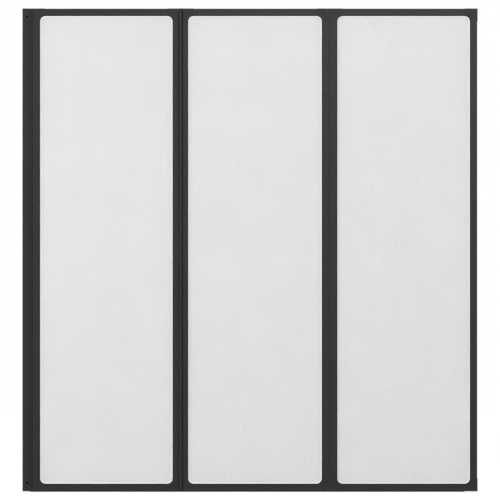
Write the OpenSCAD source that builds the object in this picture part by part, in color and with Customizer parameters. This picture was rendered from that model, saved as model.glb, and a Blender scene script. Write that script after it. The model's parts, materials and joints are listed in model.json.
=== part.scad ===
// Three-panel folding bath screen: translucent panes in black aluminium frames with moulded
// corner blocks, hinged to each other and to an adjustable profile on the wall.
// X runs along the screen away from the wall, Y towards the back, Z up. The origin lies on the
// wall face, at the middle of the row of wall screws.

/* [Screen] */
// Height of the frame from corner block to corner block
frame_h = 1400; // [900:10:1800]
// Depth of the frame profiles, front to back
frame_t = 18; // [16:0.5:26]
// Visible width of the first and the last pane
pane_w = 384; // [250:1:600]
// Visible width of the middle pane
middle_pane_w = 387; // [250:1:600]

/* [Wall side] */
// Flat width of the wall side, from the wall to the first hinge
wall_side_w = 21.3; // [19:0.1:40]
// Reach of the wall profile's flanges from the wall
wall_flange_w = 16; // [10:0.5:18]
// Thickness of the wall profile's flanges
wall_t = 1.2; // [1:0.1:2]
// Thickness of the wall profile's base
wall_base_t = 1.6; // [1.2:0.1:3]
// Play between the wall profile and the adjusting profile
adjust_clear = 0.2; // [0.1:0.05:0.3]
// Gap from the wall to the adjusting profile, room for the wall screws' heads
adjust_inset = 6; // [4:0.5:8]

/* [Profiles] */
// Wall thickness of the extruded profiles
profile_t = 1.3; // [1:0.1:1.6]
// Rounding of the profiles' long edges
edge_r = 0.4; // [0.3:0.1:0.9]
// Height of the top and bottom rails
rail_h = 21.4; // [19:0.1:32]
// Flat width of a stile on the fixed side of a hinge
fixed_stile_w = 15.8; // [14.5:0.1:26]
// Flat width of a stile on the swinging side of a hinge
swing_stile_w = 15.7; // [14.5:0.1:26]
// Width of the stile on the free edge of the screen
end_stile_w = 21.2; // [16:0.1:32]
// Depth of the groove that holds the pane and its gasket
groove_d = 8; // [7.8:0.1:8.8]
// Width of that groove
groove_w = 5.6; // [5:0.1:7]

/* [Hinges] */
// Outer radius of the hinge knuckle
knuckle_r = 6.5; // [6:0.1:7.5]
// Radius of the bore through the knuckle
bore_r = 4.6; // [4.2:0.1:4.9]
// Radius of the hinge pins
pin_r = 3; // [2.5:0.1:3.4]
// Running clearance between pin and bush
pin_clear = 0.05; // [0.03:0.01:0.09]
// Length of pin inside the knuckle
pin_in = 18; // [12:1:26]
// Length of the bush in the knuckle
bush_l = 20; // [14:1:30]
// Thickness of the bush's flange
bush_flange_t = 0.8; // [0.5:0.1:1]
// Gap between a folded panel's blocks and the wall profile
fold_gap = 0.4; // [0.3:0.1:1]
// Gap between the knuckle and the cove round it
cove_gap = 0.8; // [0.6:0.1:1.5]
// Gap between the knuckle and the corner block on its own side
block_gap = 0.4; // [0.3:0.1:1]
// How much smaller than the knuckle the ears are
ear_inset = 0.5; // [0.3:0.1:0.8]
// Height of the ears on the corner blocks
ear_h = 9; // [6:0.5:14]
// Gap beside the ears on the upper corner blocks
top_ear_side_gap = 0.45; // [0.2:0.05:0.6]
// Gap beside the ears on the lower corner blocks
foot_ear_side_gap = 0.25; // [0.2:0.05:0.6]
// Gap between the knuckle's end and the ear
ear_gap = 1.1; // [1.1:0.1:2]
// Half the gap at the closed wall hinge, on the side away from the axis
wall_flange_gap = 0.4; // [0.1:0.05:0.6]
// Half the gap between two closed panels, on the side away from the axis
fold_flange_gap = 0.1; // [0.1:0.05:0.6]
// Width of the hinge seal strip
hinge_seal_w = 2; // [1.5:0.1:2.4]
// Depth of the slot for the hinge seal strip
hinge_seal_slot = 1.4; // [1:0.1:1.6]
// Gap between the hinge seal strip and the knuckle
hinge_seal_clear = 0.3; // [0.3:0.05:0.5]

/* [Corner blocks] */
// Radius of the pane opening's corners
corner_r = 15; // [10:0.5:25]
// How far the blocks stand above the rails
block_proud = 0.6; // [0.2:0.1:1.2]
// How far the last two blocks stand out from the free edge
side_proud = 1.2; // [0.4:0.1:2]
// How far the blocks stand out from the frame's faces
face_proud = 0.2; // [0.1:0.05:0.4]
// Length of the blocks' tongues inside the profiles
tongue_l = 25; // [20:1:40]
// Play of the tongues in the profiles
tongue_clear = 0.15; // [0.1:0.05:0.25]

/* [Panes] */
// Thickness of the panes
pane_t = 3; // [2:0.1:4]
// Depth to which the frame holds the pane
pane_hold = 6.5; // [5:0.1:6.8]
// Width of the gasket's lip that shows round the pane
gasket_lip = 2.4; // [1:0.1:4]
// Play of the gasket in the groove
gasket_clear = 0.2; // [0.1:0.05:0.3]

/* [Bottom seal] */
// How far the bottom seal hangs below the blocks
seal_drop = 2; // [1.5:0.1:10]
// Width of the bottom seal, front to back
seal_w = 9; // [7:0.5:14]
// Width of the neck of the seal's slot
slot_neck_w = 3; // [2:0.1:4]
// Height of the neck of the slot
slot_neck_h = 1.4; // [1:0.1:2]
// Width of the head of the slot
slot_head_w = 6.4; // [5:0.1:8]
// Height of the head of the slot
slot_head_h = 2.4; // [1.6:0.1:3]
// Play of the seal in its slot
seal_clear = 0.2; // [0.1:0.05:0.3]

/* [Screws] */
// Radius of the frame screws' heads
screw_head_r = 3; // [2.6:0.1:3.4]
// Radius of the frame screws' shanks
screw_r = 1.5; // [1.2:0.1:1.7]
// Length of the frame screws
screw_l = 9; // [6:0.5:12]
// Distance of the frame screws from the blocks
screw_in = 12; // [8:1:16]
// Radius of the adjusting screws' heads
adjust_head_r = 3.3; // [2.8:0.1:4]
// Radius of the adjusting screws' shanks
adjust_screw_r = 1.8; // [1.5:0.1:2.2]
// Length of the adjusting screws
adjust_screw_l = 11; // [8:0.5:13]
// Distance of the adjusting screws from the wall
adjust_screw_x = 13.1; // [12:0.1:13.4]
// Distance of the adjusting screws from the ends of the screen
adjust_screw_end = 24.5; // [20:0.5:30]

/* [Wall fixing] */
// Radius of the holes for the wall screws
fix_hole_r = 2.75; // [2:0.05:4]
// Distance between the two middle wall screws, in a row of four
fix_spacing = 400; // [200:10:500]
// Distance of the first and the last wall screw from the wall profile's ends
fix_end = 63; // [30:1:100]

/* [Hidden] */
$fn = 64;
corner_fn = 128;            // sides of the circle that rounds the opening's corners
last_panel = 3;
cut = 1;                    // how far a cut runs past the surface that it opens
root_in = 2;                // how far a tongue or core is sunk into its own block
press_clear = 0.02;         // play of pins and bushes that are pressed in
recess_d = 0.8;             // depth of the cross in a screw's head
recess_w = 0.8;             // width of the cross's arms
recess_l = 3.6;             // length of the cross's arms
pin_recess = 0.5;           // how far the pins lie below the ears' ends
lip_t = 1;                  // thickness of the bottom seal's two lips
hinge_seal_turn = 40;       // from the panel's plane to the hinge seal, in degrees

frame_colour = [0.20, 0.20, 0.21];
block_colour = [0.17, 0.17, 0.18];
pane_colour = [0.88, 0.89, 0.89];
gasket_colour = [0.96, 0.96, 0.96];
seal_colour = [0.10, 0.10, 0.10];
steel_colour = [0.70, 0.71, 0.72];
nylon_colour = [0.85, 0.84, 0.80];

half_h = frame_h / 2;
half_t = frame_t / 2;
wall_in = half_t + adjust_clear;                // half the clear width in the wall profile
wall_out = wall_in + wall_t;                    // half the wall profile's outer width
axis_out = (adjust_clear + wall_t + face_proud + fold_gap) / 2;  // from the frame's face to the axis
axis_y = half_t + axis_out;
block_edge = knuckle_r + block_gap;             // from a hinge axis to the flat on its fixed side
cove_r = knuckle_r + cove_gap;
ear_r = knuckle_r - ear_inset;
fixed_side = block_edge + fixed_stile_w;        // from a hinge axis to the opening on each side
swing_side = cove_r + swing_stile_w;
open_z = half_h - block_proud - rail_h;         // the opening's upper edge
end_z = open_z - corner_r;                      // where the blocks and the wall caps begin
hinge_z = half_h - ear_h - ear_gap;             // where the knuckles end
slot_d = slot_neck_h + slot_head_h;
tongue_y = half_t - profile_t - tongue_clear;   // half the depth of a tongue
adjust_screw_z = half_h - adjust_screw_end;

// Hinge 0 is at the wall, and hinge n between panels n and n + 1.
function pane_width(panel) = panel == 2 ? middle_pane_w : pane_w;
function axis_x(hinge) = hinge == 0 ? wall_side_w + block_edge : open_right(hinge) + fixed_side;
function open_left(panel) = axis_x(panel - 1) + swing_side;
function open_right(panel) = open_left(panel) + pane_width(panel);
function axis_in_front(hinge) = hinge == 1;
function flange_gap(hinge) = hinge == 0 ? wall_flange_gap : fold_flange_gap;

// Flat shapes. In a profile's section x runs along the screen and y front to back.
module band(x0, x1, half_w) {
    translate([x0, -half_w]) square([x1 - x0, 2 * half_w]);
}

module soft_band(x0, x1, half_w, r) {
    translate([x0 + r, -half_w]) square([x1 - x0 - 2 * r, 2 * half_w]);
    translate([x0, -half_w + r]) square([x1 - x0, 2 * half_w - 2 * r]);
    for (x = [x0 + r, x1 - r], y = [-half_w + r, half_w - r])
        translate([x, y]) circle(r);
}

// A profile's section from the opening at x = 0 outwards: the pane's groove and the hollow round it.
module groove_and_hollow(hollow_w) {
    band(-cut, groove_d, groove_w / 2);
    difference() {
        band(profile_t, hollow_w, half_t - profile_t);
        band(0, groove_d + profile_t, groove_w / 2 + profile_t);
    }
}

// The fixed side of a hinge, with the axis at x = 0 and the knuckle at the back.
module knuckle_section(left, gap) {
    difference() {
        union() {
            soft_band(left, -gap, half_t, edge_r);
            translate([0, axis_y]) circle(knuckle_r);
        }
        translate([0, axis_y]) circle(bore_r);
        translate([-block_edge + profile_t, -half_t + profile_t])
            square([block_edge - gap - 2 * profile_t, frame_t - profile_t + axis_out - knuckle_r]);
    }
}

module fixed_stile_section(gap) {
    difference() {
        knuckle_section(-fixed_side, gap);
        translate([-fixed_side, 0]) groove_and_hollow(fixed_stile_w - profile_t);
    }
}

// The swinging side of a hinge, with a cove round the knuckle and a slot for the hinge seal.
module swing_stile_section(gap) {
    difference() {
        soft_band(gap, swing_side, half_t, edge_r);
        translate([0, axis_y]) circle(cove_r);
        translate([0, axis_y]) hinge_seal_shape(cove_r - cut, cove_r + hinge_seal_slot);
        translate([swing_side, 0]) mirror([1, 0]) groove_and_hollow(swing_stile_w - profile_t);
        translate([gap + profile_t, -half_t + profile_t])
            square([cove_r - gap - profile_t, axis_y - cove_r + half_t - 2 * profile_t]);
    }
}

module hinge_seal_shape(r0, r1) {
    rotate(-hinge_seal_turn)
        translate([r0, -hinge_seal_w / 2]) square([r1 - r0, hinge_seal_w]);
}

// Places a hinge's parts, turned over where the axis is in front.
module at_hinge(hinge) {
    translate([axis_x(hinge), 0, 0])
        if (axis_in_front(hinge)) mirror([0, 1, 0]) children();
        else children();
}

module column(half_length) {
    translate([0, 0, -half_length]) linear_extrude(2 * half_length) children();
}

module box(x0, x1, y0, y1, z0, z1) {
    translate([x0, y0, z0]) cube([x1 - x0, y1 - y0, z1 - z0]);
}

module at_both_ends() {
    children();
    mirror([0, 0, 1]) children();
}

// Wall side
module wall_profile() {
    color(frame_colour) difference() {
        column(end_z) difference() {
            soft_band(0, wall_flange_w, wall_out, edge_r / 2);
            band(wall_base_t, wall_flange_w + cut, wall_in);
        }
        at_both_ends() for (z = [fix_spacing / 2, end_z - fix_end])
            translate([-cut, 0, z]) rotate([0, 90, 0])
                cylinder(h = wall_base_t + 2 * cut, r = fix_hole_r);
    }
}

module adjusting_profile() {
    color(frame_colour) difference() {
        at_hinge(0) column(hinge_z) difference() {
            knuckle_section(adjust_inset - axis_x(0), flange_gap(0));
            band(-axis_x(0), -block_edge - profile_t, half_t - profile_t);
        }
        adjusting_screw_holes(adjust_screw_r, half_t + cut, cut);
    }
}

// Bores along Y at both adjusting screws, from y = -front to y = -back.
module adjusting_screw_holes(r, front, back) {
    for (z = [-adjust_screw_z, adjust_screw_z])
        translate([adjust_screw_x, -back, z]) rotate([90, 0, 0]) cylinder(h = front - back, r = r);
}

module wall_cap() {
    core_x1 = wall_side_w - profile_t - tongue_clear;
    color(block_colour) difference() {
        union() {
            difference() {
                box(0, wall_side_w, -wall_out, wall_out, end_z, half_h);
                box(wall_base_t, wall_side_w + cut, -wall_in, wall_in, end_z - cut, half_h - ear_h);
            }
            box(wall_base_t - tongue_clear, core_x1, -tongue_y, tongue_y,
                end_z, half_h - ear_h + root_in);
            box(wall_base_t + tongue_clear, core_x1, -tongue_y, tongue_y,
                end_z - tongue_l, end_z + root_in);
            at_hinge(0) ear_pad(foot_ear_side_gap);
        }
        adjusting_screw_holes(adjust_screw_r, half_t, half_t - adjust_screw_l);
        adjusting_screw_holes(adjust_head_r + adjust_clear, wall_out + cut, half_t);
    }
}

module wall_cap_top() wall_cap();
module wall_cap_bottom() mirror([0, 0, 1]) wall_cap();

// The cross in the head of a screw that points down, cut from z = 0 upwards.
module cross_recess() {
    for (turn = [0, 90])
        rotate(turn) translate([-recess_l / 2, -recess_w / 2, 0])
            cube([recess_l, recess_w, recess_d + cut]);
}

module adjusting_screws() {
    head_t = wall_t;
    color(steel_colour) for (z = [-adjust_screw_z, adjust_screw_z])
        translate([adjust_screw_x, -half_t, z]) rotate([90, 0, 0]) difference() {
            union() {
                cylinder(h = head_t, r = adjust_head_r);
                translate([0, 0, -adjust_screw_l])
                    cylinder(h = adjust_screw_l + head_t / 2, r = adjust_screw_r);
            }
            translate([0, 0, head_t - recess_d]) cross_recess();
        }
}

// Hinge hardware
module hinge_bushes(hinge) {
    color(nylon_colour) at_hinge(hinge) at_both_ends()
        translate([0, axis_y, hinge_z]) difference() {
            union() {
                translate([0, 0, -bush_l]) cylinder(h = bush_l, r = bore_r - press_clear);
                cylinder(h = bush_flange_t, r = ear_r - press_clear);
            }
            translate([0, 0, -bush_l - cut])
                cylinder(h = bush_l + 2 * cut + bush_flange_t, r = pin_r + pin_clear);
        }
}

module hinge_pins(panel) {
    length = pin_in + ear_gap + ear_h - pin_recess;
    color(steel_colour) at_hinge(panel - 1) at_both_ends()
        translate([0, axis_y, hinge_z - pin_in]) cylinder(h = length, r = pin_r);
}

module hinge_seal(panel) {
    color(seal_colour) at_hinge(panel - 1) column(end_z) translate([0, axis_y])
        hinge_seal_shape(knuckle_r + hinge_seal_clear, cove_r + hinge_seal_slot - press_clear);
}

// Frame profiles
module left_stile(panel) {
    color(frame_colour) difference() {
        at_hinge(panel - 1) column(end_z) swing_stile_section(flange_gap(panel - 1));
        at_frame_screws(panel) frame_screw();
    }
}

module right_stile(panel) {
    color(frame_colour) difference() {
        if (panel == last_panel)
            translate([open_right(panel), 0, 0]) column(end_z) edge_section(end_stile_w, 0);
        else at_hinge(panel) {
            column(end_z) fixed_stile_section(flange_gap(panel));
            column(hinge_z) knuckle_section(-block_edge, flange_gap(panel));
        }
        at_frame_screws(panel) frame_screw();
    }
}

// A plain profile from the opening at x = 0 outwards, with a solid foot under its hollow.
module edge_section(width, foot) {
    difference() {
        soft_band(0, width, half_t, edge_r);
        groove_and_hollow(width - foot - profile_t);
    }
}

// Lays a section along the lower edge of a panel's opening, between the corner blocks.
module along_rail(panel) {
    translate([open_left(panel) + corner_r, 0, -open_z]) rotate([0, 90, 0])
        linear_extrude(pane_width(panel) - 2 * corner_r) children();
}

module top_rail(panel) {
    color(frame_colour) difference() {
        mirror([0, 0, 1]) along_rail(panel) edge_section(rail_h, 0);
        at_frame_screws(panel) frame_screw();
    }
}

module bottom_rail(panel) {
    color(frame_colour) difference() {
        along_rail(panel) difference() {
            edge_section(rail_h, slot_d);
            seal_bead_section(0);
        }
        at_frame_screws(panel) frame_screw();
    }
}

// The seal's slot, or with some play the bead that sits in it, in a rail's section. The neck
// runs on into the seal's lips below.
module seal_bead_section(play) {
    band(rail_h - slot_neck_h - cut, rail_h + block_proud + lip_t / 2, slot_neck_w / 2 - play);
    band(rail_h - slot_d + play, rail_h - slot_neck_h - play, slot_head_w / 2 - play);
}

// Corner blocks. The opening's corner is at the origin, and the opening lies towards -x and -z.
module corner_block(width, stile_w, foot) {
    depth = half_t + face_proud;
    tongue_root = groove_d + profile_t + tongue_clear;
    difference() {
        box(-corner_r, width, -depth, depth, -corner_r, rail_h + block_proud);
        translate([-corner_r, depth + cut, -corner_r]) rotate([90, 0, 0])
            cylinder(h = 2 * depth + 2 * cut, r = corner_r, $fn = corner_fn);
        box(-corner_r - cut, groove_d, -groove_w / 2, groove_w / 2, -corner_r - cut, groove_d);
    }
    box(-corner_r - tongue_l, -corner_r + root_in, -tongue_y, tongue_y,
        tongue_root, rail_h - foot - profile_t - tongue_clear);
    box(tongue_root, stile_w - profile_t - tongue_clear, -tongue_y, tongue_y,
        -corner_r - tongue_l, -corner_r + root_in);
}

module right_corner(panel, foot) {
    translate([open_right(panel), 0, open_z])
        if (panel == last_panel) corner_block(end_stile_w + side_proud, end_stile_w, foot);
        else corner_block(fixed_stile_w, fixed_stile_w, foot);
    if (panel < last_panel)
        at_hinge(panel) ear_pad(foot > 0 ? foot_ear_side_gap : top_ear_side_gap);
}

// A pad on the fixed side's block that ends close beside the next panel's ear.
module ear_pad(side_gap) {
    depth = half_t + face_proud;
    box(-block_edge - root_in, -ear_r - side_gap, -depth, depth, half_h - ear_h, half_h);
}

module left_corner(panel, foot) {
    depth = half_t + face_proud;
    gap = flange_gap(panel - 1);
    difference() {
        union() {
            translate([open_left(panel), 0, open_z]) mirror([1, 0, 0])
                corner_block(swing_side - gap, swing_stile_w, foot);
            at_hinge(panel - 1) hinge_ear(depth, gap);
        }
        at_hinge(panel - 1) translate([0, axis_y, 0]) {
            cylinder(h = half_h - ear_h, r = cove_r);
            cylinder(h = half_h + cut, r = pin_r + press_clear);
        }
    }
}

// The ear above the knuckle, which holds the hinge pin.
module hinge_ear(depth, gap) {
    box(-ear_r, gap + root_in, -depth, depth, half_h - ear_h, half_h);
    box(-ear_r, ear_r, half_t, axis_y, half_h - ear_h, half_h);
    translate([0, axis_y, half_h - ear_h]) cylinder(h = ear_h, r = ear_r);
}

module top_corner(panel, left) {
    color(block_colour) difference() {
        if (left) left_corner(panel, 0);
        else right_corner(panel, 0);
        at_frame_screws(panel) frame_screw();
    }
}

module bottom_corner(panel, left) {
    color(block_colour) difference() {
        mirror([0, 0, 1])
            if (left) left_corner(panel, slot_d);
            else right_corner(panel, slot_d);
        at_frame_screws(panel) frame_screw();
    }
}

// Screws on the back, through the profiles into the blocks' tongues.
module at_frame_screws(panel) {
    rail_z_top = open_z + (groove_d + rail_h) / 2;
    rail_z_bottom = -open_z - (groove_d + rail_h - slot_d) / 2;
    right_w = panel == last_panel ? end_stile_w : fixed_stile_w;
    stile_x_left = open_left(panel) - (groove_d + swing_stile_w) / 2;
    stile_x_right = open_right(panel) + (groove_d + right_w) / 2;
    for (x = [open_left(panel) + corner_r + screw_in, open_right(panel) - corner_r - screw_in],
         z = [rail_z_top, rail_z_bottom])
        translate([x, half_t, z]) rotate([90, 0, 0]) children();
    for (x = [stile_x_left, stile_x_right], z = [end_z - screw_in, screw_in - end_z])
        translate([x, half_t, z]) rotate([90, 0, 0]) children();
}

module frame_screw() {
    cylinder(h = profile_t, r1 = screw_head_r, r2 = screw_r);
    cylinder(h = screw_l, r = screw_r);
}

module frame_screws(panel) {
    color(steel_colour) at_frame_screws(panel) difference() {
        frame_screw();
        mirror([0, 0, 1]) translate([0, 0, -recess_d]) cross_recess();
    }
}

// Pane, gasket and seal
module pane(panel) {
    color(pane_colour) box(open_left(panel) - pane_hold, open_right(panel) + pane_hold,
        -pane_t / 2, pane_t / 2, -open_z - pane_hold, open_z + pane_hold);
}

module pane_gasket(panel) {
    outer = groove_d - gasket_clear;
    depth = groove_w / 2 - gasket_clear / 2;
    lip_r = corner_r - gasket_lip;
    color(gasket_colour) difference() {
        box(open_left(panel) - outer, open_right(panel) + outer, -depth, depth,
            -open_z - outer, open_z + outer);
        translate([open_left(panel), depth + cut, 0]) rotate([90, 0, 0])
            linear_extrude(2 * depth + 2 * cut)
                soft_band(gasket_lip, pane_width(panel) - gasket_lip, open_z - gasket_lip, lip_r);
        pane(panel);
    }
}

module bottom_seal(panel) {
    x0 = axis_x(panel - 1) - ear_r;
    x1 = panel == last_panel ? open_right(panel) - corner_r : axis_x(panel) - block_edge;
    half_w = seal_w / 2;
    color(seal_colour) {
        translate([x0, 0, -half_h]) rotate([90, 0, 90]) linear_extrude(x1 - x0) polygon([
            [-half_w, 0], [half_w, 0], [half_w - lip_t, -seal_drop], [half_w - 2 * lip_t, -seal_drop],
            [half_w - 3 * lip_t, -lip_t], [-half_w + 3 * lip_t, -lip_t],
            [-half_w + 2 * lip_t, -seal_drop], [-half_w + lip_t, -seal_drop],
        ]);
        along_rail(panel) {
            seal_bead_section(seal_clear);
            band(rail_h, rail_h + block_proud + lip_t / 2, half_w - lip_t);
        }
    }
}

wall_profile();
adjusting_profile();
wall_cap_top();
wall_cap_bottom();
adjusting_screws();
hinge_bushes(0);  // wall_hinge_bushes

left_stile(1);  // panel_1_left_stile
right_stile(1);  // panel_1_right_stile
top_rail(1);  // panel_1_top_rail
bottom_rail(1);  // panel_1_bottom_rail
top_corner(1, true);  // panel_1_corner_top_left
top_corner(1, false);  // panel_1_corner_top_right
bottom_corner(1, true);  // panel_1_corner_bottom_left
bottom_corner(1, false);  // panel_1_corner_bottom_right
pane(1);  // panel_1_pane
pane_gasket(1);  // panel_1_pane_gasket
bottom_seal(1);  // panel_1_bottom_seal
frame_screws(1);  // panel_1_frame_screws
hinge_pins(1);  // panel_1_hinge_pins
hinge_seal(1);  // panel_1_hinge_seal
hinge_bushes(1);  // panel_1_hinge_bushes

left_stile(2);  // panel_2_left_stile
right_stile(2);  // panel_2_right_stile
top_rail(2);  // panel_2_top_rail
bottom_rail(2);  // panel_2_bottom_rail
top_corner(2, true);  // panel_2_corner_top_left
top_corner(2, false);  // panel_2_corner_top_right
bottom_corner(2, true);  // panel_2_corner_bottom_left
bottom_corner(2, false);  // panel_2_corner_bottom_right
pane(2);  // panel_2_pane
pane_gasket(2);  // panel_2_pane_gasket
bottom_seal(2);  // panel_2_bottom_seal
frame_screws(2);  // panel_2_frame_screws
hinge_pins(2);  // panel_2_hinge_pins
hinge_seal(2);  // panel_2_hinge_seal
hinge_bushes(2);  // panel_2_hinge_bushes

left_stile(3);  // panel_3_left_stile
right_stile(3);  // panel_3_right_stile
top_rail(3);  // panel_3_top_rail
bottom_rail(3);  // panel_3_bottom_rail
top_corner(3, true);  // panel_3_corner_top_left
top_corner(3, false);  // panel_3_corner_top_right
bottom_corner(3, true);  // panel_3_corner_bottom_left
bottom_corner(3, false);  // panel_3_corner_bottom_right
pane(3);  // panel_3_pane
pane_gasket(3);  // panel_3_pane_gasket
bottom_seal(3);  // panel_3_bottom_seal
frame_screws(3);  // panel_3_frame_screws
hinge_pins(3);  // panel_3_hinge_pins
hinge_seal(3);  // panel_3_hinge_seal
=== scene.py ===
import bmesh
import bpy
import json
import math
import numpy as np
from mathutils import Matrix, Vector


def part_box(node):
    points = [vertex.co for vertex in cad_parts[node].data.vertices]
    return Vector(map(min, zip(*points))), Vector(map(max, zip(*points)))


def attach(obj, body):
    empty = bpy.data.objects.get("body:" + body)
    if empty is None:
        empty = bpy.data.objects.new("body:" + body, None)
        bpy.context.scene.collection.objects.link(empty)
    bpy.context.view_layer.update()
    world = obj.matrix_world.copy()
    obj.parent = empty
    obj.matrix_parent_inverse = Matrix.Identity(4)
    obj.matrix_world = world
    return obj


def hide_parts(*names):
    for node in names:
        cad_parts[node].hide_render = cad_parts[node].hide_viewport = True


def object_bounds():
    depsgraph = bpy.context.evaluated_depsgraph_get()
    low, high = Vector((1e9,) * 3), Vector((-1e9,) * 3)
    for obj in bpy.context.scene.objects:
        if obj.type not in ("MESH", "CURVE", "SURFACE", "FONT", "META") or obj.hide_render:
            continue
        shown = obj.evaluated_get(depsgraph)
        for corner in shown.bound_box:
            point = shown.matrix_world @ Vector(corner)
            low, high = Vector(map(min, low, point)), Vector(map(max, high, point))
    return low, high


# A folding bath screen: three framed panes hinged to each other and to a profile on the wall.
# The metal profiles, pins, bushes and screws are the CAD pieces. The panes, gaskets and seals are
# made here, and so are corner blocks and wall caps with softened edges. Metres, X along the screen,
# Y to the back, Z up.
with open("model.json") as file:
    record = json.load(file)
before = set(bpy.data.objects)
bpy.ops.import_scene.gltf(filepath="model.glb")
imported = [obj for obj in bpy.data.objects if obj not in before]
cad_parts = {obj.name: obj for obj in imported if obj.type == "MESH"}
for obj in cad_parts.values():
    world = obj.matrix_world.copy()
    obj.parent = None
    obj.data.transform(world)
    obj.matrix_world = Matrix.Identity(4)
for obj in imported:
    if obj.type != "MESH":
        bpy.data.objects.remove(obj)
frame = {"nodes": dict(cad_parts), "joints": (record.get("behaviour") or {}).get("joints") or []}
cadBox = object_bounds()
nodes = frame["nodes"]
mm = 0.001
tiny = 1e-6                 # lengths in metres below this count as nothing
panels = (1, 2, 3)
print("frame loaded,", len(nodes), "CAD nodes")

# The photograph's view: straight from the front through a long lens.
photoView = {
    "middle": (0.6599, -0.0004),    # X and Z at the middle of the picture
    "frontFace": -0.0092,           # Y of the face that the scale was measured on
    "width": 1.450,                 # metres that the picture's width spans on that face
    "distance": 12.0,
    "sensor": 36.0,
}


def placeCamera():
    data = bpy.data.cameras.new("photoCamera")
    data.sensor_width = photoView["sensor"]
    data.lens = photoView["sensor"] * photoView["distance"] / photoView["width"]
    camera = bpy.data.objects.new("photoCamera", data)
    x, z = photoView["middle"]
    camera.location = (x, photoView["frontFace"] - photoView["distance"], z)
    camera.rotation_euler = (math.pi / 2, 0, 0)
    bpy.context.scene.collection.objects.link(camera)
    bpy.context.scene.camera = camera


placeCamera()

# Node materials. Every pattern reads Object coordinates, in metres.
noiseSpan = (0.3, 0.7)      # nearly all values of a noise lie between these


def newMaterial(name, settings):
    material = bpy.data.materials.new(name)
    material.use_nodes = True
    shader = material.node_tree.nodes["Principled BSDF"]
    for socket, value in settings.items():
        shader.inputs[socket].default_value = value
    return material, material.node_tree, shader


# Noise of a given grain in metres, drawn out along X, Y or Z by the stretch factors.
def grainNoise(tree, grain, stretch=(1, 1, 1), detail=2.0, lift=0.5):
    coordinates = tree.nodes.new("ShaderNodeTexCoord")
    mapping = tree.nodes.new("ShaderNodeMapping")
    mapping.inputs["Scale"].default_value = [1 / (grain * s) for s in stretch]
    noise = tree.nodes.new("ShaderNodeTexNoise")
    noise.inputs["Scale"].default_value = 1.0
    noise.inputs["Detail"].default_value = detail
    noise.inputs["Roughness"].default_value = lift
    tree.links.new(coordinates.outputs["Object"], mapping.inputs["Vector"])
    tree.links.new(mapping.outputs["Vector"], noise.inputs["Vector"])
    return noise.outputs["Fac"]


# The base colour runs from dark to pale where the noise runs from its low to its high values.
def varyColour(tree, shader, fac, dark, pale):
    ramp = tree.nodes.new("ShaderNodeValToRGB")
    ramp.color_ramp.elements[0].position = noiseSpan[0]
    ramp.color_ramp.elements[0].color = (*dark, 1)
    ramp.color_ramp.elements[1].position = noiseSpan[1]
    ramp.color_ramp.elements[1].color = (*pale, 1)
    tree.links.new(fac, ramp.inputs["Fac"])
    tree.links.new(ramp.outputs["Color"], shader.inputs["Base Color"])


def varyRoughness(tree, shader, fac, low, high):
    spread = tree.nodes.new("ShaderNodeMapRange")
    spread.inputs["From Min"].default_value = noiseSpan[0]
    spread.inputs["From Max"].default_value = noiseSpan[1]
    spread.inputs["To Min"].default_value = low
    spread.inputs["To Max"].default_value = high
    tree.links.new(fac, spread.inputs["Value"])
    tree.links.new(spread.outputs["Result"], shader.inputs["Roughness"])


# Layers of relief, each a noise and its height in metres, one bump on top of the other.
def addRelief(tree, shader, layers):
    normal = None
    for fac, height in layers:
        bump = tree.nodes.new("ShaderNodeBump")
        bump.inputs["Strength"].default_value = 1.0
        bump.inputs["Distance"].default_value = height
        tree.links.new(fac, bump.inputs["Height"])
        if normal is not None:
            tree.links.new(normal, bump.inputs["Normal"])
        normal = bump.outputs["Normal"]
    tree.links.new(normal, shader.inputs["Normal"])


# Satin powder coat on an extruded profile: orange peel, faint die lines along the profile, and a
# slow change of shade and gloss.
powderCoat = {
    "dark": (0.0150, 0.0150, 0.0156),
    "pale": (0.0175, 0.0175, 0.0180),
    "roughness": (0.40, 0.47),
    "specular": 0.42,
    "peel": (0.9 * mm, 0.030 * mm),     # grain and height
    "dieLines": (0.5 * mm, 0.008 * mm),
    "cloud": 60 * mm,
    "drawnOut": 400,                    # how much longer than wide the die lines are
    "cloudDrawnOut": 0.1,               # the clouds' share of that
}
# The adjusting profile's coat is darker and less glossy: painted shade for the shade of its recess beside
# the wall profile.
paintedShadePowderCoat = dict(powderCoat, dark=(0.0115, 0.0115, 0.0120), pale=(0.0135, 0.0135, 0.0140),
                       specular=0.36)


def powderCoated(name, coat, along):
    stretch = [coat["drawnOut"] if axis == along else 1 for axis in "XYZ"]
    material, tree, shader = newMaterial(name, {"Specular IOR Level": coat["specular"]})
    cloud = grainNoise(tree, coat["cloud"], stretch=[1 + (s - 1) * coat["cloudDrawnOut"] for s in stretch])
    varyColour(tree, shader, cloud, coat["dark"], coat["pale"])
    varyRoughness(tree, shader, cloud, *coat["roughness"])
    addRelief(tree, shader, [
        (grainNoise(tree, coat["peel"][0]), coat["peel"][1]),
        (grainNoise(tree, coat["dieLines"][0], stretch=stretch), coat["dieLines"][1]),
    ])
    return material


# Moulded black plastic with a fine spark grain.
mouldedPlastic = {
    "dark": (0.0145, 0.0145, 0.0150),
    "pale": (0.0180, 0.0180, 0.0185),
    "roughness": (0.44, 0.54),
    "specular": 0.42,
    "grain": (0.5 * mm, 0.020 * mm),
    "cloud": 14 * mm,
}


def moulded(name, settings):
    material, tree, shader = newMaterial(name, {"Specular IOR Level": settings["specular"]})
    cloud = grainNoise(tree, settings["cloud"])
    varyColour(tree, shader, cloud, settings["dark"], settings["pale"])
    varyRoughness(tree, shader, cloud, *settings["roughness"])
    addRelief(tree, shader, [(grainNoise(tree, settings["grain"][0], detail=3.0), settings["grain"][1])])
    return material


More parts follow.
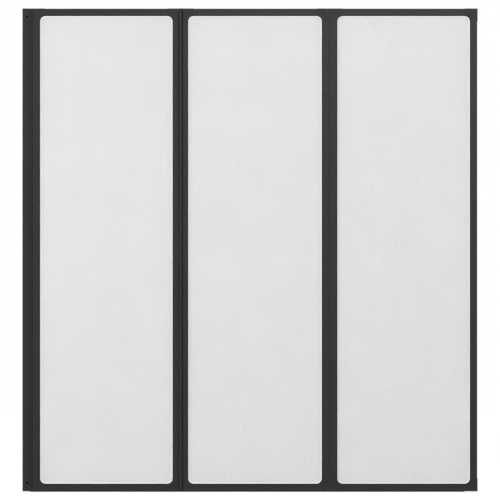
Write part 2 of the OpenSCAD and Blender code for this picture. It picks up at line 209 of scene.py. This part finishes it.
softRubber = {
    "dark": (0.010, 0.010, 0.010),
    "pale": (0.016, 0.016, 0.016),
    "roughness": (0.62, 0.78),
    "specular": 0.35,
    "grain": (0.6 * mm, 0.010 * mm),
    "cloud": 20 * mm,
}
blackNylon = {
    "dark": (0.012, 0.012, 0.012),
    "pale": (0.017, 0.017, 0.018),
    "roughness": (0.34, 0.44),
    "specular": 0.5,
    "grain": (0.5 * mm, 0.004 * mm),
    "cloud": 6 * mm,
}

# Milky polystyrene. Light scatters in it, so it is part see-through and rough inside.
milkyPane = {
    "dark": (0.858, 0.860, 0.860),
    "pale": (0.878, 0.880, 0.880),
    "roughness": (0.30, 0.38),
    "transmission": 0.5,
    "paintedGlow": 0.0,
    "ior": 1.50,
    "ripple": (26 * mm, 0.030 * mm),    # grain and height
    "skin": (1.4 * mm, 0.006 * mm),
    "cloud": 104 * mm,
}


def milky(name, settings):
    material, tree, shader = newMaterial(name, {
        "Transmission Weight": settings["transmission"],
        "IOR": settings["ior"],
        # Emission here is painted light: where paintedGlow is above nought the piece glows though it is no
        # lamp.
        "Emission Color": (1, 1, 1, 1),
        "Emission Strength": settings["paintedGlow"],
    })
    cloud = grainNoise(tree, settings["cloud"])
    varyColour(tree, shader, cloud, settings["dark"], settings["pale"])
    varyRoughness(tree, shader, cloud, *settings["roughness"])
    addRelief(tree, shader, [
        (grainNoise(tree, settings["ripple"][0]), settings["ripple"][1]),
        (grainNoise(tree, settings["skin"][0]), settings["skin"][1]),
    ])
    return material


whiteGasket = {
    "dark": (0.95, 0.95, 0.95),
    "pale": (0.97, 0.97, 0.97),
    "roughness": (0.32, 0.42),
    "transmission": 0.0,
    "paintedGlow": 0.25,           # painted light: the strip glows so that its lip looks bright in the shade of the frame's recess
    "ior": 1.45,
    "ripple": (12 * mm, 0.020 * mm),
    "skin": (0.8 * mm, 0.004 * mm),
    "cloud": 48 * mm,
}

# Ground steel with fine marks round the pins, and blackened steel with marks along the screws.
groundSteel = {
    "dark": (0.50, 0.51, 0.52),
    "pale": (0.62, 0.63, 0.64),
    "roughness": (0.20, 0.32),
    "metallic": 1.0,
    "marks": (0.25 * mm, 0.003 * mm),
    "stretch": (8, 8, 1),
    "cloud": 2.0 * mm,
}
# The adjusting screws are nearly black with little gloss: painted shade for the shade of their holes.
screwPaintedShade = {
    "dark": (0.0015, 0.0015, 0.0015),
    "pale": (0.0030, 0.0030, 0.0030),
    "roughness": (0.60, 0.75),
    "specular": 0.05,
    "grain": (0.3 * mm, 0.004 * mm),
    "cloud": 4 * mm,
}
blackSteel = {
    "dark": (0.030, 0.030, 0.031),
    "pale": (0.050, 0.050, 0.051),
    "roughness": (0.34, 0.50),
    "metallic": 0.85,
    "marks": (0.20 * mm, 0.004 * mm),
    "stretch": (1, 6, 1),
    "cloud": 1.6 * mm,
}


def metal(name, settings):
    material, tree, shader = newMaterial(name, {"Metallic": settings["metallic"]})
    marks = grainNoise(tree, settings["marks"][0], stretch=settings["stretch"])
    cloud = grainNoise(tree, settings["cloud"])
    varyColour(tree, shader, cloud, settings["dark"], settings["pale"])
    varyRoughness(tree, shader, marks, *settings["roughness"])
    addRelief(tree, shader, [(marks, settings["marks"][1])])
    return material


uprightCoat = powderCoated("uprightCoat", powderCoat, along="Z")
levelCoat = powderCoated("levelCoat", powderCoat, along="X")
# painted shade: the adjusting profile's darker coat stands for the shade of its recess
paintedShadeCoat = powderCoated("paintedShadeCoat", paintedShadePowderCoat, along="Z")
blockPlastic = moulded("blockPlastic", mouldedPlastic)
rubber = moulded("sealRubber", softRubber)
nylon = moulded("bushNylon", blackNylon)
paneMilk = milky("paneMilk", milkyPane)
# painted light: the gasket strip glows
gasketMilk = milky("gasketMilk", whiteGasket)
pinSteel = metal("pinSteel", groundSteel)
screwSteel = metal("screwSteel", blackSteel)
# painted shade: the adjusting screws are coloured nearly black for the shade of their holes
paintedShadeScrew = moulded("paintedShadeScrew", screwPaintedShade)
print("materials made")

# The CAD pieces that stay get their material here.
finishOf = {
    "wall_profile": uprightCoat,
    # the adjusting profile gets the coat with painted shade
    "adjusting_profile": paintedShadeCoat,
    # the adjusting screws get the colour with painted shade
    "adjusting_screws": paintedShadeScrew,
    "wall_hinge_bushes": nylon,
    "left_stile": uprightCoat,
    "right_stile": uprightCoat,
    "top_rail": levelCoat,
    "bottom_rail": levelCoat,
    "frame_screws": screwSteel,
    "hinge_pins": pinSteel,
    "hinge_bushes": nylon,
}


def finishNodes():
    for name, node in nodes.items():
        own = name.split("_", 2)[2] if name.startswith("panel_") else name
        if own in finishOf:
            node.data.materials.clear()
            node.data.materials.append(finishOf[own])


finishNodes()

# New pieces as surfaces on grids.


# Puts points and faces into a mesh that rides on a body and stands for its CAD nodes.
def addPiece(name, points, faces, material, body, replaced, smoothAngle=40):
    mesh = bpy.data.meshes.new(name)
    mesh.from_pydata(points.tolist(), [], faces)
    mesh.materials.append(material)
    piece = bpy.data.objects.new(name, mesh)
    bpy.context.scene.collection.objects.link(piece)
    return dressPiece(piece, body, replaced, smoothAngle)


def dressPiece(piece, body, replaced, smoothAngle):
    mesh = piece.data
    mesh.polygons.foreach_set("use_smooth", np.ones(len(mesh.polygons), bool))
    mesh.set_sharp_from_angle(angle=math.radians(smoothAngle))
    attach(piece, body)
    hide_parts(*replaced)
    return piece


# The quads of a grid whose points are numbered row by row. A closed grid joins up its last and
# first column, or its last and first row.
def gridQuads(rows, columns, closedRows=False, closedColumns=False):
    r = np.arange(rows if closedRows else rows - 1)
    c = np.arange(columns if closedColumns else columns - 1)
    row, column = np.meshgrid(r, c, indexing="ij")
    below, above = row * columns, (row + 1) % rows * columns
    left, right = column, (column + 1) % columns
    quads = np.stack([below + left, below + right, above + right, above + left], axis=-1)
    return quads.reshape(-1, 4)


# Embossed panes
embossing = {
    "depth": 0.80 * mm,             # of the deepest drops, pressed into the front
    "segments": (144, 498),         # of the front face, along X and along Z
    "backStep": 6,                  # the flat back has every sixth line
    "flatEdge": (9 * mm, 16 * mm),  # from the pane's edge: flat up to here, full depth from there
    "layers": [
        # cell, half width, half length, share of the depth, seed
        (33 * mm, 6.4 * mm, 7.6 * mm, 1.00, 11),
        (21 * mm, 4.0 * mm, 4.8 * mm, 0.60, 23),
    ],
    "narrowing": 0.30,              # how much narrower a drop is towards its top
    "lattice": (97, 101),           # cells before the chances repeat
    "filled": 0.8,                  # share of the cells that hold a drop
    "stray": 0.6,                   # share of the cell's width that a drop's middle may lie in
    "smallest": 0.6,                # size of the smallest drop against the largest
    "shallowest": 0.7,              # depth of the shallowest against the deepest
}


# Depth of the drops over a pane, as a share of the deepest. Most cells of a square lattice hold a
# drop, moved off the cell's middle by chance. A drop's depth is (1 - d * d) squared, where d is the
# distance from its middle in half widths across and half lengths along, and the half width shrinks
# evenly towards its top. The deepest drop at a point wins.
def dropDepths(x, z, panel):
    wide, tall = embossing["lattice"]
    stray, smallest, shallowest = embossing["stray"], embossing["smallest"], embossing["shallowest"]
    margin = (1 - stray) / 2
    depths = np.zeros_like(x)
    for cell, halfWidth, halfLength, share, seed in embossing["layers"]:
        chance = np.random.default_rng(seed * 10 + panel).random((wide, tall, 5))
        column, row = np.floor(x / cell).astype(int), np.floor(z / cell).astype(int)
        for sideways in (-1, 0, 1):
            for upwards in (-1, 0, 1):
                c, r = column + sideways, row + upwards
                pick = chance[c % wide, r % tall]
                size = smallest + (1 - smallest) * pick[..., 2]
                there = pick[..., 3] < embossing["filled"]
                across = x - (c + margin + stray * pick[..., 0]) * cell
                along = z - (r + margin + stray * pick[..., 1]) * cell
                width = halfWidth * size * (1 - embossing["narrowing"] * along / (halfLength * size))
                d = np.hypot(across / np.maximum(width, tiny), along / (halfLength * size))
                deepest = share * (shallowest + (1 - shallowest) * pick[..., 4])
                depths = np.maximum(depths, np.where(there, np.clip(1 - d * d, 0, 1) ** 2 * deepest, 0))
    return depths


# Rises from 0 at the start to 1 at the end as t * t * (3 - 2 * t).
def smoothStep(value, start, end):
    t = np.clip((value - start) / (end - start), 0, 1)
    return t * t * (3 - 2 * t)


# The pane is a slab. Its front lies at the CAD pane's front plus the drops' depth, fading out towards
# the edge. Its back is flat, on every sixth line of the front's grid.
def makePane(panel):
    low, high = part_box(f"panel_{panel}_pane")
    across, up = embossing["segments"]
    step = embossing["backStep"]
    x, z = np.meshgrid(np.linspace(low.x, high.x, across + 1), np.linspace(low.z, high.z, up + 1))
    edge = np.minimum(np.minimum(x - low.x, high.x - x), np.minimum(z - low.z, high.z - z))
    relief = dropDepths(x, z, panel) * smoothStep(edge, *embossing["flatEdge"])
    y = low.y + embossing["depth"] * relief
    front = np.stack([x, y, z], axis=-1).reshape(-1, 3)
    backX, backZ = x[::step, ::step], z[::step, ::step]
    back = np.stack([backX, np.full_like(backX, high.y), backZ], axis=-1).reshape(-1, 3)
    frontQuads = gridQuads(up + 1, across + 1)
    backRows, backColumns = backX.shape
    backQuads = gridQuads(backRows, backColumns)[:, ::-1] + len(front)
    rim = rimTriangles(up, across, step, len(front))
    faces = frontQuads.tolist() + backQuads.tolist() + rim.tolist()
    points = np.concatenate([front, back])
    return addPiece(f"panel_{panel}_embossed_pane", points, faces, paneMilk, f"panel_{panel}",
                    [f"panel_{panel}_pane"], smoothAngle=50)


# The numbers of a grid's edge points, once round anticlockwise as seen from the front.
def edgeLoop(rows, columns):
    number = np.arange(rows * columns).reshape(rows, columns)
    return np.concatenate([number[0, :-1], number[:-1, -1], number[-1, :0:-1], number[:0:-1, 0]])


# The rim joins each coarse stretch of the back's edge to the fine ones of the front's edge.
def rimTriangles(up, across, step, offset):
    fine = edgeLoop(up + 1, across + 1)
    coarse = edgeLoop(up // step + 1, across // step + 1) + offset
    after = np.roll(coarse, -1)
    fineAfter = np.roll(fine, -1)
    half = step // 2
    owner = np.repeat(coarse, step).reshape(-1, step)
    owner[:, half:] = after[:, None]
    small = np.stack([fineAfter, fine, owner.ravel()], axis=-1)
    wide = np.stack([fine[half::step], coarse, after], axis=-1)
    return np.concatenate([small, wide])


for panel in panels:
    makePane(panel)
print("embossed panes made")

# Glazing gaskets
gasketShape = {
    "hold": 6.5 * mm,       # the pane's edge lies this far outside the opening
    "cornerRadius": 15 * mm,
    "lip": 2.4 * mm,        # how far the lip reaches into the opening
    "outer": 7.8 * mm,      # how far the gasket reaches into the groove
    "halfDepth": 2.7 * mm,
    "lipRise": 1.30 * mm,   # thickness of the lip
    "lipRound": 0.60 * mm,  # rounding of its inner edge
    "lipBase": 0.4 * mm,    # how far outside the opening the flat of the lip starts
    "air": 0.04 * mm,       # between the gasket and the pane
    "arcSteps": 16,
    "sideSteps": 12,
    "lipSteps": 8,
}


# A closed path round an opening: four straight sides and four quarter circles, each point with
# the direction that points out of the opening.
def openingPath(x0, x1, z0, z1, radius, arcSteps, sideSteps):
    corners = [(x1 - radius, z0 + radius, -90), (x1 - radius, z1 - radius, 0),
               (x0 + radius, z1 - radius, 90), (x0 + radius, z0 + radius, 180)]
    turn = np.linspace(0, math.pi / 2, arcSteps + 1)
    arcs = []
    for x, z, start in corners:
        angle = math.radians(start) + turn
        out = np.stack([np.cos(angle), np.sin(angle)], axis=-1)
        arcs.append((np.array([x, z]) + radius * out, out))
    places, outs = [], []
    for k, (arc, out) in enumerate(arcs):
        following = arcs[(k + 1) % 4][0][0]
        share = np.linspace(0, 1, sideSteps + 1)[1:-1, None]
        places += [arc, arc[-1] + (following - arc[-1]) * share]
        outs += [out, np.repeat(out[-1:], sideSteps - 1, axis=0)]
    return np.concatenate(places), np.concatenate(outs)


# The gasket's section as pairs of how far outwards and how far back. The lip is flat and ends in a
# quarter circle that comes down towards the pane.
def gasketSection(shape, paneFront, paneBack):
    turn = np.linspace(0, math.pi / 2, shape["lipSteps"] + 1)
    out = np.concatenate([[shape["lipBase"]], shape["lipRound"] * (1 - np.sin(turn)) - shape["lip"]])
    rise = shape["lipRise"] - shape["lipRound"] * (1 - np.cos(np.concatenate([[0], turn])))
    frontLip = np.stack([out, paneFront - rise], axis=-1)
    backLip = np.stack([out, paneBack + rise], axis=-1)[::-1]
    front, back, bottom = paneFront - shape["air"], paneBack + shape["air"], shape["hold"] + shape["air"]
    return np.concatenate([
        [(shape["outer"], -shape["halfDepth"])], frontLip, [(-shape["lip"], front), (bottom, front)],
        [(bottom, back), (-shape["lip"], back)], backLip, [(shape["outer"], shape["halfDepth"])],
    ])


# Carries a closed section round a closed path: point = place + outwards * direction, at depth y.
def makeGasket(panel):
    low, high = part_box(f"panel_{panel}_pane")
    shape = gasketShape
    places, outs = openingPath(
        low.x + shape["hold"], high.x - shape["hold"], low.z + shape["hold"], high.z - shape["hold"],
        shape["cornerRadius"], shape["arcSteps"], shape["sideSteps"])
    section = gasketSection(shape, low.y, high.y)
    flat = places[:, None, :] + outs[:, None, :] * section[None, :, :1]
    depth = np.broadcast_to(section[:, 1], flat.shape[:2])
    points = np.stack([flat[..., 0], depth, flat[..., 1]], axis=-1).reshape(-1, 3)
    quads = gridQuads(len(places), len(section), closedRows=True, closedColumns=True)[:, ::-1]
    return addPiece(f"panel_{panel}_gasket_strip", points, quads.tolist(), gasketMilk, f"panel_{panel}",
                    [f"panel_{panel}_pane_gasket"])


for panel in panels:
    makeGasket(panel)
print("gaskets made")

sweepStations = 9   # sections along a straight strip


# Carries a flat section straight from one end to the other and closes both ends. The section's
# pairs are laid on the axes named by across, and the run is along the third axis.
def straightSweep(section, start, end, across):
    run = ({0, 1, 2} - set(across)).pop()
    count = len(section)
    points = np.zeros((sweepStations, count, 3))
    points[..., across[0]] = section[:, 0]
    points[..., across[1]] = section[:, 1]
    points[..., run] = np.linspace(start, end, sweepStations)[:, None]
    quads = gridQuads(sweepStations, count, closedColumns=True)
    ends = [list(range(count))[::-1], [(sweepStations - 1) * count + k for k in range(count)]]
    return points.reshape(-1, 3), quads, ends


# Turns a closed shell the right way out: its volume by the divergence theorem has to be positive.
def outwardFaces(points, faces):
    volume = 0.0
    for face in faces:
        corners = points[list(face)]
        fan = np.cross(corners[1:-1], corners[2:])
        volume += (corners[0] * fan.sum(axis=0)).sum()
    return [list(face)[::-1] for face in faces] if volume < 0 else [list(face) for face in faces]


# Bottom seals
lipSeal = {
    "halfWidth": 4.5 * mm,
    "drop": 2.0 * mm,           # from the blocks down to the lips' tips
    "web": 1.0 * mm,            # thickness of the strip between the lips
    "tipRadius": 0.40 * mm,
    "tipOut": 3.4 * mm,         # from the middle to a tip
    "shoulder": 0.3 * mm,       # chamfer at the strip's top
    "flare": 1.2 * mm,          # how much further in a lip's inner face starts at the web
    "rootHalfWidth": 3.4 * mm,  # the part between the strip and the rail
    "rootHeight": 0.6 * mm,
    "neckHalfWidth": 1.3 * mm,
    "neckHeight": 1.5 * mm,
    "beadHalfWidth": 3.0 * mm,
    "beadHeight": 2.0 * mm,
    "beadTaper": 0.4 * mm,      # how much narrower each side of the bead is at its top
    "sink": 0.4 * mm,           # of the root into the strip
    "endGap": 0.1 * mm,         # between the root's ends and the rail's
    "curveSteps": 8,
}


# One half of the strip's section runs from the top's middle out to the shoulder, down the outer
# curve, round the tip in a half circle and up the inner curve to the web. The curves are quarter
# sine waves. The other half is its mirror image.
def lipSection(shape, top):
    t = np.linspace(0, 1, shape["curveSteps"] + 1)
    tipOut, radius = shape["tipOut"], shape["tipRadius"]
    tipZ = top - shape["drop"] + radius
    shoulderZ = top - shape["shoulder"]
    outerY = tipOut + radius + (shape["halfWidth"] - tipOut - radius) * np.cos(t * math.pi / 2)
    outer = np.stack([outerY, shoulderZ + (tipZ - shoulderZ) * t], axis=-1)
    angle = np.linspace(0, -math.pi, shape["curveSteps"] + 1)[1:-1]
    tip = np.stack([tipOut + radius * np.cos(angle), tipZ + radius * np.sin(angle)], axis=-1)
    innerY = tipOut - radius - shape["flare"] * np.sin(t * math.pi / 2)
    inner = np.stack([innerY, tipZ + (top - shape["web"] - tipZ) * t], axis=-1)
    half = np.concatenate([[[shape["halfWidth"] - shape["shoulder"], top]], outer, tip, inner])
    return np.concatenate([half, half[::-1] * [-1, 1]])


# The root that goes up into the rail's slot: pad, neck and bead, as a stepped outline.
def rootSection(shape, top):
    neckZ = top + shape["rootHeight"]
    beadZ = neckZ + shape["neckHeight"]
    half = np.array([
        (shape["rootHalfWidth"], top - shape["sink"]), (shape["rootHalfWidth"], neckZ),
        (shape["neckHalfWidth"], neckZ), (shape["neckHalfWidth"], beadZ),
        (shape["beadHalfWidth"], beadZ),
        (shape["beadHalfWidth"] - shape["beadTaper"], beadZ + shape["beadHeight"]),
    ])
    return np.concatenate([half, half[::-1] * [-1, 1]])


def makeBottomSeal(panel):
    low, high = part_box(f"panel_{panel}_bottom_seal")
    railLow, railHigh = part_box(f"panel_{panel}_bottom_rail")
    top = low.z + lipSeal["drop"]
    stripPoints, stripQuads, stripEnds = straightSweep(lipSection(lipSeal, top), low.x, high.x, (1, 2))
    rootPoints, rootQuads, rootEnds = straightSweep(
        rootSection(lipSeal, top), railLow.x + lipSeal["endGap"], railHigh.x - lipSeal["endGap"], (1, 2))
    strip = outwardFaces(stripPoints, stripQuads.tolist() + stripEnds)
    root = outwardFaces(rootPoints, rootQuads.tolist() + rootEnds)
    faces = strip + [[k + len(stripPoints) for k in face] for face in root]
    return addPiece(f"panel_{panel}_lip_seal", np.concatenate([stripPoints, rootPoints]), faces, rubber,
                    f"panel_{panel}", [f"panel_{panel}_bottom_seal"])


for panel in panels:
    makeBottomSeal(panel)

# Hinge seals: a thin strip in each cove, with a rounded nose next to the knuckle.
hingeStrip = {
    "turn": 40,                 # degrees from the panel's plane
    "halfWidth": 1.0 * mm,
    "nose": 6.8 * mm,           # from the hinge's axis
    "noseDepth": 0.8 * mm,      # over which the nose rounds off
    "root": 8.68 * mm,          # from the hinge's axis
    "noseSteps": 10,
}


# The section is a strip along the radius that ends in a half ellipse towards the axis, turned by
# its angle about the axis and mirrored where the hinge lies in front.
def makeHingeStrip(panel):
    joint = frame["joints"][panel - 1]
    axisX, axisY = joint["pos_m"][0], joint["pos_m"][1]
    shape = hingeStrip
    angle = np.linspace(-math.pi / 2, math.pi / 2, shape["noseSteps"] + 1)
    radial = shape["nose"] + shape["noseDepth"] * (1 - np.cos(angle))
    side = shape["halfWidth"] * np.sin(angle)
    radial = np.concatenate([[shape["root"]], radial, [shape["root"]]])
    side = np.concatenate([[-shape["halfWidth"]], side, [shape["halfWidth"]]])
    turn = math.radians(-shape["turn"])
    flip = 1 if axisY > 0 else -1
    section = np.stack([axisX + radial * math.cos(turn) - side * math.sin(turn),
                        axisY + flip * (radial * math.sin(turn) + side * math.cos(turn))], axis=-1)
    low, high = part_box(f"panel_{panel}_hinge_seal")
    points, quads, ends = straightSweep(section, low.z, high.z, (0, 1))
    faces = outwardFaces(points, quads.tolist() + ends)
    return addPiece(f"panel_{panel}_hinge_strip", points, faces, rubber, f"panel_{panel}",
                    [f"panel_{panel}_hinge_seal"])


for panel in panels:
    makeHingeStrip(panel)
print("seals made")

# Corner blocks and wall caps: merged copies of the CAD nodes with softened edges.
softEdges = {
    "width": 0.28 * mm,
    "segments": 3,
    "fromAngle": 35,            # degrees; flatter edges stay as they are
    "shortest": 2.0 * mm,       # so do shorter ones
    "flatAngle": 0.5,           # degrees under which two faces count as one
    "smoothAngle": 40,
}


def softenBlock(name, body):
    mesh = nodes[name].data.copy()
    mesh.name = name + "_soft"
    work = bmesh.new()
    work.from_mesh(mesh)
    bmesh.ops.remove_doubles(work, verts=work.verts, dist=tiny)
    bmesh.ops.dissolve_limit(work, angle_limit=math.radians(softEdges["flatAngle"]), verts=work.verts,
                             edges=work.edges)
    weights = work.edges.layers.float.new("bevel_weight_edge")
    for edge in work.edges:
        if len(edge.link_faces) == 2 and edge.calc_length() > softEdges["shortest"]:
            if edge.is_convex and edge.calc_face_angle() > math.radians(softEdges["fromAngle"]):
                edge[weights] = 1.0
    work.to_mesh(mesh)
    work.free()
    mesh.materials.clear()
    mesh.materials.append(blockPlastic)
    piece = bpy.data.objects.new(mesh.name, mesh)
    bpy.context.scene.collection.objects.link(piece)
    bevel = piece.modifiers.new("softEdges", "BEVEL")
    bevel.limit_method = "WEIGHT"
    bevel.width = softEdges["width"]
    bevel.segments = softEdges["segments"]
    bevel.use_clamp_overlap = False
    bevel.harden_normals = True
    return dressPiece(piece, body, [name], softEdges["smoothAngle"])


def softenBlocks():
    for panel in panels:
        for place in ("top_left", "top_right", "bottom_left", "bottom_right"):
            softenBlock(f"panel_{panel}_corner_{place}", f"panel_{panel}")
    for name in ("wall_cap_top", "wall_cap_bottom"):
        softenBlock(name, "wall_side")


softenBlocks()
print("corner blocks softened")

# Stage: pale floor, even white surroundings and soft studio light.
stage = {
    "floorHalf": 6.0,
    "floorLines": 9,
    "floorColour": (0.90, 0.90, 0.90, 1),
    "floorRoughness": 0.8,
    "floorSpecular": 0.2,
    "floorLift": 0.52,          # lifts the floor to the white of the surroundings
    "backdrop": 1.0,            # the surroundings as the camera sees them, also through the panes
    "surroundings": 0.53,       # their light on the screen
    "lowShine": 0.125,          # how much brighter or darker a pane shows it low down or high up
    "softness": 0.25,           # how steep a ray gets half of that
}
# Area lights in front of the screen. A fill gives no gloss; the others also shine on the frames.
softboxes = {
    "leftFill": {"place": (-0.9, -2.6, 0.2), "size": (1.4, 1.4), "power": 29.4, "gloss": False},
    "rightFill": {"place": (2.2, -2.6, 0.0), "size": (1.4, 1.4), "power": 8.8, "gloss": False},
    "rightTop": {"place": (1.7, -3.0, 1.4), "size": (1.8, 1.4), "power": 13.2, "gloss": True},
    "middleTop": {"place": (0.66, -3.0, 1.7), "size": (1.8, 1.4), "power": 8.9, "gloss": True},
    "middle": {"place": (0.9, -3.0, 0.6), "size": (1.8, 1.4), "power": 2.4, "gloss": True},
}
softboxAim = (0.66, 0, 0.1)


def makeFloor():
    half, lines = stage["floorHalf"], stage["floorLines"]
    x, y = np.meshgrid(np.linspace(-half, half, lines), np.linspace(-half, half, lines))
    points = np.stack([x + photoView["middle"][0], y, np.full_like(x, cadBox[0].z)], axis=-1)
    mesh = bpy.data.meshes.new("floor")
    mesh.from_pydata(points.reshape(-1, 3).tolist(), [], gridQuads(lines, lines).tolist())
    material, tree, shader = newMaterial("floorPaint", {
        "Base Color": stage["floorColour"],
        "Roughness": stage["floorRoughness"],
        "Specular IOR Level": stage["floorSpecular"],
        "Emission Color": (1, 1, 1, 1),
        "Emission Strength": stage["floorLift"],
    })
    mesh.materials.append(material)
    floor = bpy.data.objects.new("floor", mesh)
    # glosses and views through a pane show the even surroundings instead of the floor
    floor.visible_diffuse = False
    floor.visible_glossy = False
    floor.visible_transmission = False
    bpy.context.scene.collection.objects.link(floor)


# A node that works out one sum of two numbers or sockets.
def sumNode(tree, operation, first, second):
    node = tree.nodes.new("ShaderNodeMath")
    node.operation = operation
    for socket, value in zip(node.inputs, (first, second)):
        if isinstance(value, bpy.types.NodeSocket):
            tree.links.new(value, socket)
        else:
            socket.default_value = value
    return node.outputs["Value"]


# The surroundings shine evenly from all round. Rays from the camera see the white backdrop
# instead. So do rays that have gone through a pane, but for them it is brighter low down and darker
# high up: backdrop - lowShine * z / (|z| + softness), where z is how steeply the ray climbs.
def lightSurroundings():
    world = bpy.data.worlds.new("surroundings")
    bpy.context.scene.world = world
    world.use_nodes = True
    tree = world.node_tree
    background = tree.nodes["Background"]
    background.inputs["Color"].default_value = (1, 1, 1, 1)
    rays = tree.nodes.new("ShaderNodeLightPath")
    direction = tree.nodes.new("ShaderNodeTexCoord")
    parts = tree.nodes.new("ShaderNodeSeparateXYZ")
    tree.links.new(direction.outputs["Generated"], parts.inputs["Vector"])
    climb = parts.outputs["Z"]
    steepness = sumNode(tree, "ADD", sumNode(tree, "ABSOLUTE", climb, 0), stage["softness"])
    shine = sumNode(tree, "MULTIPLY", sumNode(tree, "DIVIDE", climb, steepness), -stage["lowShine"])
    seen = sumNode(tree, "MULTIPLY", shine, rays.outputs["Is Transmission Ray"])
    either = sumNode(tree, "MAXIMUM", rays.outputs["Is Camera Ray"], rays.outputs["Is Transmission Ray"])
    strength = tree.nodes.new("ShaderNodeMapRange")
    strength.inputs["To Min"].default_value = stage["surroundings"]
    strength.inputs["To Max"].default_value = stage["backdrop"]
    tree.links.new(either, strength.inputs["Value"])
    total = sumNode(tree, "ADD", strength.outputs["Result"], seen)
    tree.links.new(total, background.inputs["Strength"])


def placeSoftboxes():
    for name, box in softboxes.items():
        light = bpy.data.lights.new(name, "AREA")
        light.shape = "RECTANGLE"
        light.size, light.size_y = box["size"]
        light.energy = box["power"]
        holder = bpy.data.objects.new(name, light)
        holder.location = box["place"]
        aim = Vector(softboxAim) - Vector(box["place"])
        holder.rotation_euler = aim.to_track_quat("-Z", "Y").to_euler()
        holder.visible_camera = False
        holder.visible_glossy = box["gloss"]
        bpy.context.scene.collection.objects.link(holder)


makeFloor()
lightSurroundings()
placeSoftboxes()
bpy.context.scene.view_settings.view_transform = "Standard"
print("stage lit")

bpy.context.view_layer.update()
